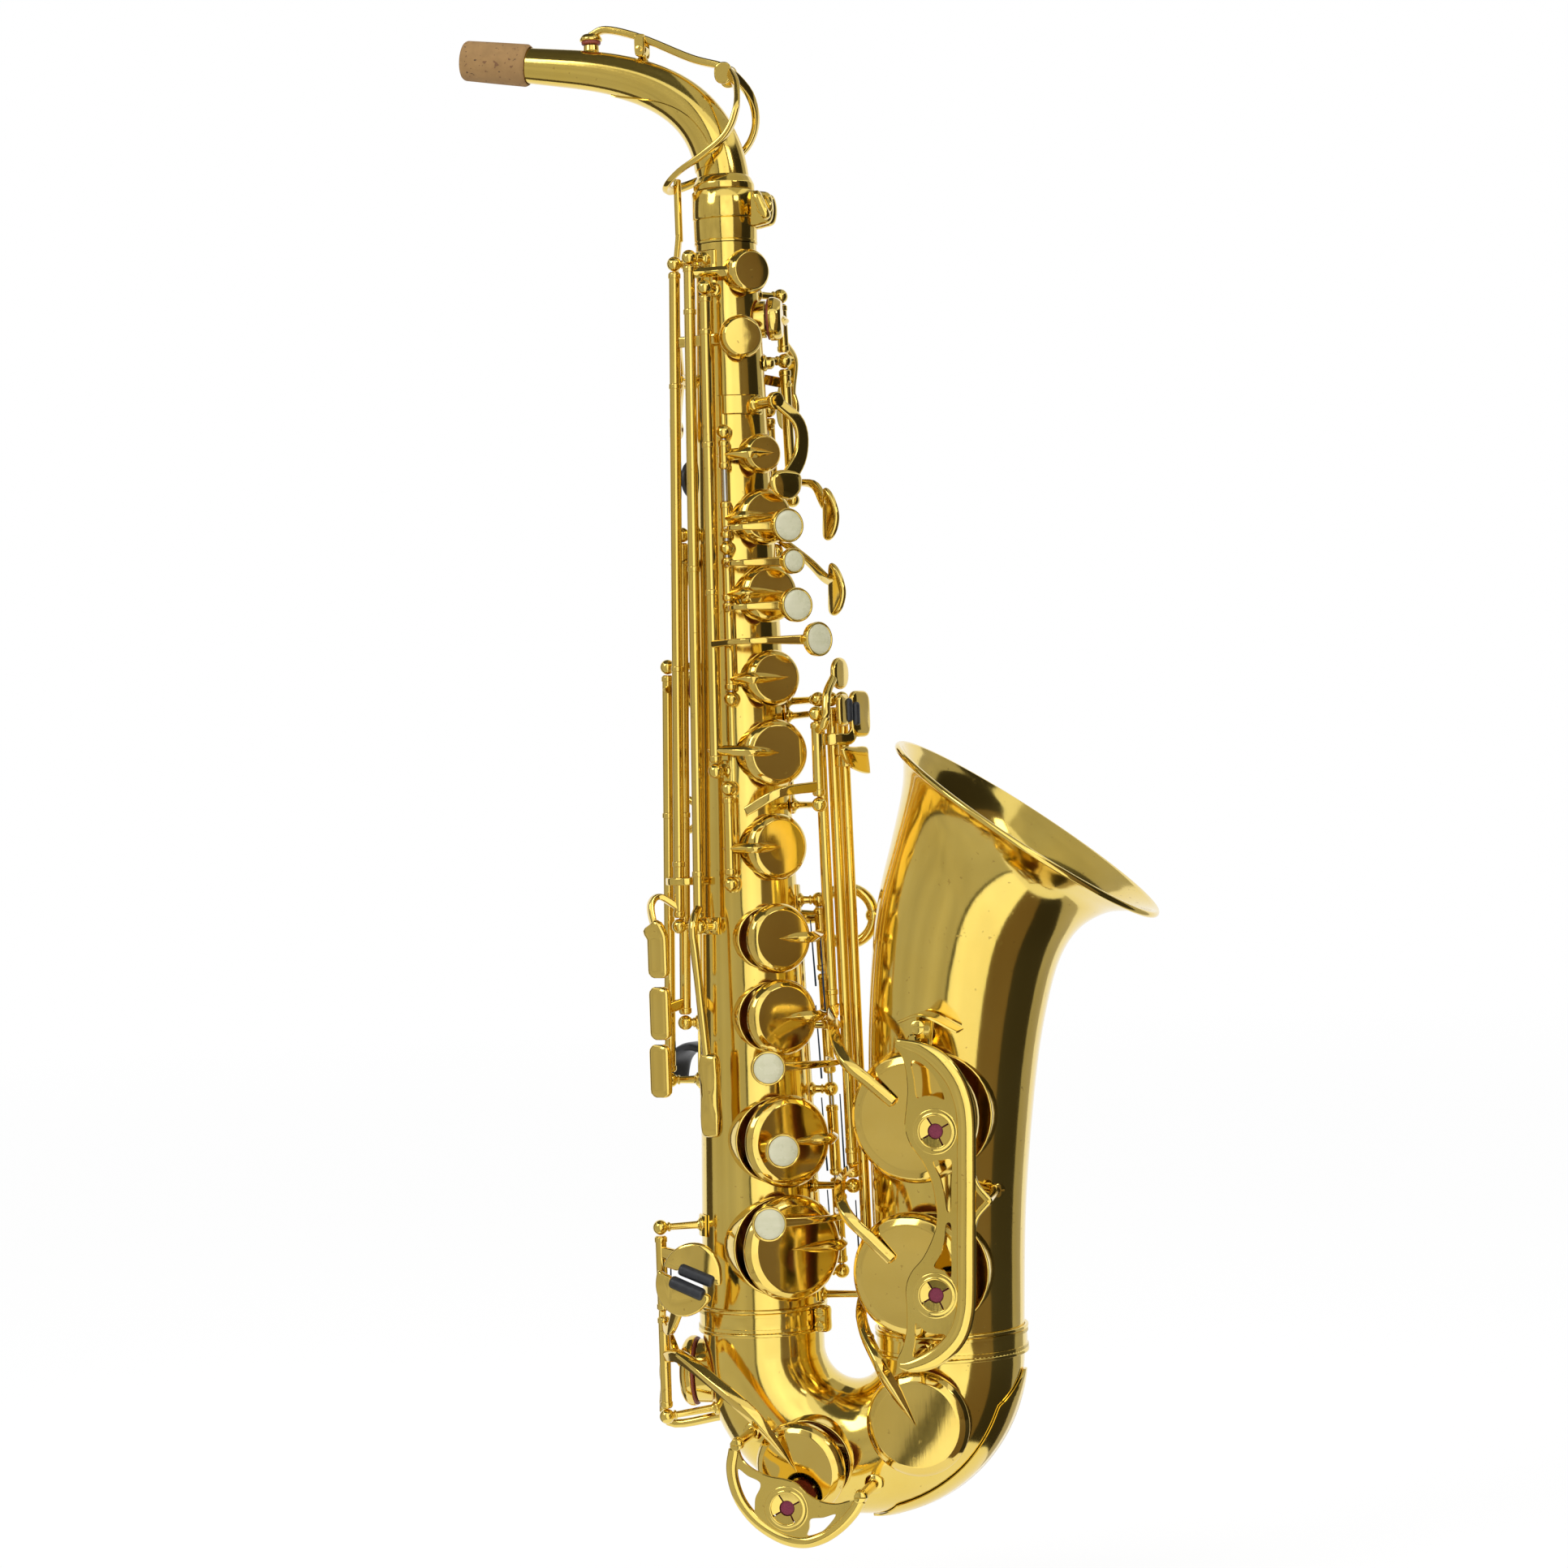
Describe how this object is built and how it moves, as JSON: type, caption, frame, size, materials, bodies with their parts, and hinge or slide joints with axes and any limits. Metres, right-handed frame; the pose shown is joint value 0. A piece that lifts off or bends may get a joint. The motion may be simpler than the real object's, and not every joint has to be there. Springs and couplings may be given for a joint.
{
  "type": "alto saxophone",
  "caption": "Lacquered brass alto saxophone with a swivelling corked neck, hinged tone-hole keys, bell-key guards and a strap ring, ready for a mouthpiece.",
  "frame": {"origin": "centre of the strap ring's hole", "axes": "+Z along the body tube towards the neck, +X from the body tube to the bell, -Y to the player's right"},
  "size_m": [0.2808, 0.1266, 0.6237],
  "materials": {
    "lacquered_brass": "clear gold lacquer, polished",
    "polished_steel": "polished rod",
    "neck_cork": "sanded cork",
    "black_plastic": "satin",
    "red_felt": "felt"
  },
  "bodies": {
    "body": {"bell": "lacquered_brass", "bell_bow_ring": "lacquered_brass", "bell_brace": "lacquered_brass", "bell_key_guard": "lacquered_brass", "body_bow_ring": "lacquered_brass", "body_tube": "lacquered_brass", "bow": "lacquered_brass", "bow_guard_strip": "lacquered_brass", "low_b_felt": "red_felt", "low_bb_felt": "red_felt", "low_c_felt": "red_felt", "low_c_guard": "lacquered_brass", "low_eb_guard": "lacquered_brass", "lower_stack_rib": "lacquered_brass", "lower_stack_rod": "polished_steel", "neck_receiver": "lacquered_brass", "octave_post": "lacquered_brass", "palm_rib": "lacquered_brass", "pinky_post_bottom": "lacquered_brass", "pinky_post_top": "lacquered_brass", "side_bb_rib": "lacquered_brass", "side_c_rib": "lacquered_brass", "side_rib_bottom": "lacquered_brass", "side_rib_top": "lacquered_brass", "strap_ring": "lacquered_brass", "table_bracket": "lacquered_brass", "thumb_hook": "black_plastic", "thumb_rest": "black_plastic", "upper_stack_rib": "lacquered_brass", "upper_stack_rod": "polished_steel"},
    "neck": {"neck_tube": "lacquered_brass", "neck_cork": "neck_cork"},
    "neck_screw": {"neck_screw": "lacquered_brass"},
    "neck_octave_key": {"neck_octave_key": "lacquered_brass"},
    "octave_lever": {"octave_lever": "lacquered_brass"},
    "c_key": {"c_key": "lacquered_brass"},
    "b_key": {"b_key": "lacquered_brass"},
    "bis_key": {"bis_key": "lacquered_brass"},
    "a_key": {"a_key": "lacquered_brass"},
    "g_key": {"g_key": "lacquered_brass"},
    "g_sharp_key": {"g_sharp_key": "lacquered_brass"},
    "f_sharp_key": {"f_sharp_key": "lacquered_brass"},
    "f_key": {"f_key": "lacquered_brass"},
    "e_key": {"e_key": "lacquered_brass"},
    "d_key": {"d_key": "lacquered_brass"},
    "high_e_key": {"high_e_key": "lacquered_brass"},
    "high_f_sharp_key": {"high_f_sharp_key": "lacquered_brass"},
    "side_c_key": {"side_c_key": "lacquered_brass"},
    "side_bb_key": {"side_bb_key": "lacquered_brass"},
    "palm_d_key": {"palm_d_key": "lacquered_brass"},
    "palm_eb_key": {"palm_eb_key": "lacquered_brass"},
    "palm_f_key": {"palm_f_key": "lacquered_brass"},
    "front_f_lever": {"front_f_lever": "lacquered_brass"},
    "low_b_key": {"low_b_key": "lacquered_brass"},
    "low_bb_key": {"low_bb_key": "lacquered_brass"},
    "low_c_sharp_key": {"low_c_sharp_key": "lacquered_brass"},
    "g_sharp_lever": {"g_sharp_lever": "lacquered_brass"},
    "low_eb_key": {"low_eb_key": "lacquered_brass"},
    "low_c_key": {"low_c_key": "lacquered_brass"}
  },
  "joints": [
    {"name": "neck_swivel", "type": "hinge", "parent": "body", "child": "neck", "pos_m": [0.02756, -0.00586, 0.256], "axis": [0, 0, 1], "range_deg": [-8, 8]},
    {"name": "neck_screw_turn", "type": "hinge", "parent": "body", "child": "neck_screw", "pos_m": [0.04596, -0.00586, 0.248], "axis": [0, 1, 0], "continuous": true},
    {"name": "neck_octave_key_turn", "type": "hinge", "parent": "neck", "child": "neck_octave_key", "pos_m": [-0.00544, -0.00586, 0.3175], "axis": [0, 1, 0], "range_deg": [0, 4.79], "stiffness_Nm_per_rad": 0.02, "springref_deg": -17.19},
    {"name": "octave_lever_turn", "type": "hinge", "parent": "body", "child": "octave_lever", "pos_m": [0.00645, -0.00586, 0.18], "axis": [0, -1, 0], "range_deg": [0, 3.6], "stiffness_Nm_per_rad": 0.02, "springref_deg": -17.19},
    {"name": "c_key_turn", "type": "hinge", "parent": "body", "child": "c_key", "pos_m": [0.02898, -0.02608, 0.146], "axis": [0.002, -0.028, -0.9996], "range_deg": [-10.01, 0], "stiffness_Nm_per_rad": 0.02, "springref_deg": 17.19},
    {"name": "b_key_turn", "type": "hinge", "parent": "body", "child": "b_key", "pos_m": [0.02903, -0.02683, 0.1195], "axis": [0.002, -0.028, -0.9996], "range_deg": [-13.55, 0], "stiffness_Nm_per_rad": 0.02, "springref_deg": 17.19},
    {"name": "bis_key_turn", "type": "hinge", "parent": "body", "child": "bis_key", "pos_m": [0.02908, -0.02751, 0.0951], "axis": [0.002, -0.028, -0.9996], "range_deg": [-13.58, 0], "stiffness_Nm_per_rad": 0.02, "springref_deg": 17.19},
    {"name": "a_key_turn", "type": "hinge", "parent": "body", "child": "a_key", "pos_m": [0.02913, -0.02828, 0.0679], "axis": [0.002, -0.028, -0.9996], "range_deg": [-12.46, 0], "stiffness_Nm_per_rad": 0.02, "springref_deg": 17.19},
    {"name": "g_key_turn", "type": "hinge", "parent": "body", "child": "g_key", "pos_m": [0.02337, -0.03093, 0.116], "axis": [-0.0046, -0.0277, -0.9996], "range_deg": [-10.43, 0], "stiffness_Nm_per_rad": 0.02, "springref_deg": 17.19},
    {"name": "g_sharp_key_turn", "type": "hinge", "parent": "body", "child": "g_sharp_key", "pos_m": [0.02713, -0.03089, -0.009], "axis": [-0.0005, -0.0281, -0.9996], "range_deg": [0, 13.52], "stiffness_Nm_per_rad": 0.02, "springref_deg": -17.19},
    {"name": "f_sharp_key_turn", "type": "hinge", "parent": "body", "child": "f_sharp_key", "pos_m": [0.05707, -0.00276, -0.053], "axis": [-0.028, -0.0029, 0.9996], "range_deg": [-9.12, 0], "stiffness_Nm_per_rad": 0.02, "springref_deg": 17.19},
    {"name": "f_key_turn", "type": "hinge", "parent": "body", "child": "f_key", "pos_m": [0.05804, -0.00266, -0.0875], "axis": [-0.028, -0.0029, 0.9996], "range_deg": [-8.86, 0], "stiffness_Nm_per_rad": 0.02, "springref_deg": 17.19},
    {"name": "e_key_turn", "type": "hinge", "parent": "body", "child": "e_key", "pos_m": [0.05938, -0.00251, -0.1355], "axis": [-0.028, -0.0029, 0.9996], "range_deg": [-8.46, 0], "stiffness_Nm_per_rad": 0.02, "springref_deg": 17.19},
    {"name": "d_key_turn", "type": "hinge", "parent": "body", "child": "d_key", "pos_m": [0.0603, -0.00242, -0.1685], "axis": [-0.028, -0.0029, 0.9996], "range_deg": [-8.16, 0], "stiffness_Nm_per_rad": 0.02, "springref_deg": 17.19},
    {"name": "high_e_key_turn", "type": "hinge", "parent": "body", "child": "high_e_key", "pos_m": [0.00505, -0.01912, 0.0905], "axis": [-0.0242, -0.0143, -0.9996], "range_deg": [0, 7.41], "stiffness_Nm_per_rad": 0.02, "springref_deg": -17.19},
    {"name": "high_f_sharp_key_turn", "type": "hinge", "parent": "body", "child": "high_f_sharp_key", "pos_m": [0.0151, -0.02881, 0.091], "axis": [-0.0134, -0.0247, -0.9996], "range_deg": [0, 8.07], "stiffness_Nm_per_rad": 0.02, "springref_deg": -17.19},
    {"name": "side_c_key_turn", "type": "hinge", "parent": "body", "child": "side_c_key", "pos_m": [0.00387, -0.01402, 0.015], "axis": [0.0266, 0.0092, 0.9996], "range_deg": [0, 11.39], "stiffness_Nm_per_rad": 0.02, "springref_deg": -17.19},
    {"name": "side_bb_key_turn", "type": "hinge", "parent": "body", "child": "side_bb_key", "pos_m": [-0.00505, -0.00986, -0.024], "axis": [0.0279, 0.0034, 0.9996], "range_deg": [0, 8.53], "stiffness_Nm_per_rad": 0.02, "springref_deg": -17.19},
    {"name": "palm_d_key_turn", "type": "hinge", "parent": "body", "child": "palm_d_key", "pos_m": [0.03905, 0.01325, 0.138], "axis": [0.0145, 0.0241, -0.9996], "range_deg": [0, 12.88], "stiffness_Nm_per_rad": 0.02, "springref_deg": -17.19},
    {"name": "palm_eb_key_turn", "type": "hinge", "parent": "body", "child": "palm_eb_key", "pos_m": [0.04647, 0.01372, 0.1585], "axis": [0.0195, 0.0202, -0.9996], "range_deg": [0, 8.6], "stiffness_Nm_per_rad": 0.02, "springref_deg": -17.19},
    {"name": "palm_f_key_turn", "type": "hinge", "parent": "body", "child": "palm_f_key", "pos_m": [0.04564, 0.01286, 0.201], "axis": [-0.0195, -0.0202, 0.9996], "range_deg": [0, 10.75], "stiffness_Nm_per_rad": 0.02, "springref_deg": -17.19},
    {"name": "front_f_lever_turn", "type": "hinge", "parent": "body", "child": "front_f_lever", "pos_m": [0.05061, -0.0226, 0.167], "axis": [0.809, -0.5878, 0], "range_deg": [0, 6], "stiffness_Nm_per_rad": 0.02, "springref_deg": -17.19},
    {"name": "low_b_key_turn", "type": "hinge", "parent": "body", "child": "low_b_key", "pos_m": [0.06282, -0.01486, -0.021], "axis": [0.012, 0, -0.9999], "range_deg": [-7.78, 0], "stiffness_Nm_per_rad": 0.02, "springref_deg": 17.19},
    {"name": "low_bb_key_turn", "type": "hinge", "parent": "body", "child": "low_bb_key", "pos_m": [0.06751, -0.01086, -0.054], "axis": [0.012, 0, -0.9999], "range_deg": [-9.43, 0], "stiffness_Nm_per_rad": 0.02, "springref_deg": 17.19},
    {"name": "low_c_sharp_key_turn", "type": "hinge", "parent": "body", "child": "low_c_sharp_key", "pos_m": [0.07138, -0.00636, -0.0765], "axis": [0.012, 0, -0.9999], "range_deg": [0, 9.55], "stiffness_Nm_per_rad": 0.02, "springref_deg": -17.19},
    {"name": "g_sharp_lever_turn", "type": "hinge", "parent": "body", "child": "g_sharp_lever", "pos_m": [0.06356, -0.02536, 0.021], "axis": [0, 0, 1], "range_deg": [0, 7], "stiffness_Nm_per_rad": 0.02, "springref_deg": -17.19},
    {"name": "low_eb_key_turn", "type": "hinge", "parent": "body", "child": "low_eb_key", "pos_m": [-0.00894, -0.02736, -0.18675], "axis": [0, 0, 1], "range_deg": [0, 12.73], "stiffness_Nm_per_rad": 0.02, "springref_deg": -17.19},
    {"name": "low_c_key_turn", "type": "hinge", "parent": "body", "child": "low_c_key", "pos_m": [-0.00894, -0.02736, -0.22325], "axis": [0, 0, -1], "range_deg": [-5.65, 0], "stiffness_Nm_per_rad": 0.02, "springref_deg": 17.19}
  ],
  "couplings": [
    {"joint": "neck_octave_key_turn", "follows": "octave_lever_turn", "ratio": 1.33},
    {"joint": "c_key_turn", "follows": "b_key_turn", "ratio": 0.7387},
    {"joint": "g_sharp_key_turn", "follows": "g_sharp_lever_turn", "ratio": 1.932},
    {"joint": "f_sharp_key_turn", "follows": "f_key_turn", "ratio": 1.0303}
  ]
}
